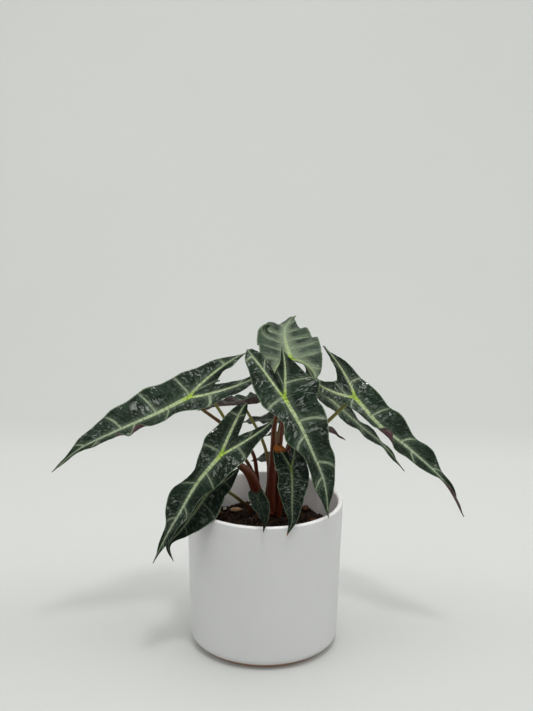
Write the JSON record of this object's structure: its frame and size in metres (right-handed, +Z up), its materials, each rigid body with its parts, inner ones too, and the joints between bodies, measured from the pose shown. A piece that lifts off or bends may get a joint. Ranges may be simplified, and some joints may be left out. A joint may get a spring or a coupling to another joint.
{
  "type": "potted alocasia",
  "caption": "Young alocasia with arrow-shaped dark green leaves and pale veins, growing in bark soil in a plain pale cylinder pot with a recessed foot.",
  "frame": {"origin": "centre of the pot's flat underside", "axes": "+Z up along the pot's axis; +X along the widest spread of the leaves, to the right as seen from the front; -Y towards the front, where the two large drooping front leaves hang"},
  "size_m": [0.328, 0.1741, 0.2563],
  "materials": {
    "pot": "satin pale grey outside and inside, unglazed brown line at the foot",
    "soil": "dark loose bark and peat mix",
    "bark": "rough dark bark",
    "wood": "pale split wood",
    "perlite": "white, porous, matt",
    "leaf": "glossy dark green with pale green veins, purple-brown underside",
    "stalk_dark": "smooth dark red-brown, satin",
    "stalk_olive": "smooth olive, red-brown at the base, satin"
  },
  "bodies": {
    "root": {"pot": "pot", "soil": "soil", "crown": "stalk_dark", "leaf_left_long": "leaf", "stalk_left_long": "stalk_dark", "leaf_left_under": "leaf", "stalk_left_under": "stalk_olive", "leaf_front_left": "leaf", "stalk_front_left": "stalk_dark", "leaf_front_left_under": "leaf", "stalk_front_left_under": "stalk_olive", "leaf_centre_front": "leaf", "stalk_centre_front": "stalk_dark", "leaf_top_back": "leaf", "stalk_top_back": "stalk_dark", "leaf_right_long": "leaf", "stalk_right_long": "stalk_olive", "leaf_right_under": "leaf", "stalk_right_under": "stalk_dark", "leaf_back_left": "leaf", "stalk_back_left": "stalk_olive", "leaf_back_middle": "leaf", "stalk_back_middle": "stalk_dark", "leaf_back_right": "leaf", "stalk_back_right": "stalk_dark", "leaf_behind_stalks": "leaf", "stalk_behind_stalks": "stalk_dark", "leaf_small_front": "leaf", "stalk_small_front": "stalk_dark", "leaf_tiny_front": "leaf", "stalk_tiny_front": "stalk_dark", "wood_chip": "wood", "bark_chip_1": "bark", "bark_chip_2": "bark", "bark_chip_3": "bark", "perlite_1": "perlite", "perlite_2": "perlite", "perlite_3": "perlite"}
  },
  "joints": []
}
